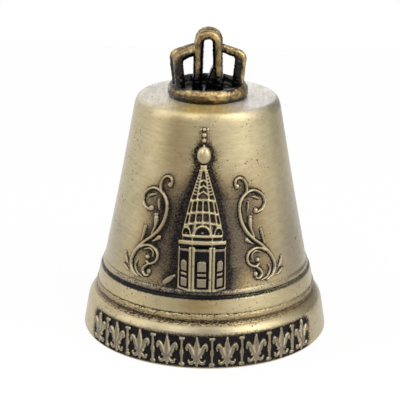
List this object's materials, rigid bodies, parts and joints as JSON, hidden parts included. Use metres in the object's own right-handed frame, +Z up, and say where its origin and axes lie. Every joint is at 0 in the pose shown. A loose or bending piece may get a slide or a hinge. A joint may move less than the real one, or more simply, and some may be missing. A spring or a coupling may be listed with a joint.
{
  "type": "small cast souvenir church bell with a clapper",
  "caption": "Small cast brass church bell with a flared lip, two moulding beads, an eared crown with a hanging loop, and a swinging ball clapper inside.",
  "frame": {"origin": "centre of the flat ring that the bell stands on, at the mouth", "axes": "+Z up along the bell's axis, -Y towards the bell's front, the side with the chapel relief; the crown's ears point to +X and -X, swept a little towards -Y"},
  "size_m": [0.0498, 0.0498, 0.062],
  "materials": {
    "shell_brass": "antique patina, brushed",
    "crown_brass": "antique patina, as cast",
    "hardware_steel": "zinc plated",
    "clapper_brass": "antique patina"
  },
  "bodies": {
    "bell": {"bell_shell": "shell_brass", "crown": "crown_brass", "washer": "hardware_steel", "lock_nut": "hardware_steel", "eye_bolt": "hardware_steel"},
    "ring": {"jump_ring": "hardware_steel"},
    "clapper": {"clapper_rod": "clapper_brass", "clapper_ball": "clapper_brass"}
  },
  "joints": [
    {"name": "ring_swing", "type": "hinge", "parent": "bell", "child": "ring", "pos_m": [0, 0, 0.0366], "axis": [1, 0, 0], "range_deg": [-8, 8]},
    {"name": "clapper_swing", "type": "hinge", "parent": "ring", "child": "clapper", "pos_m": [0, 0, 0.03335], "axis": [0, 1, 0], "range_deg": [-33, 33]}
  ]
}
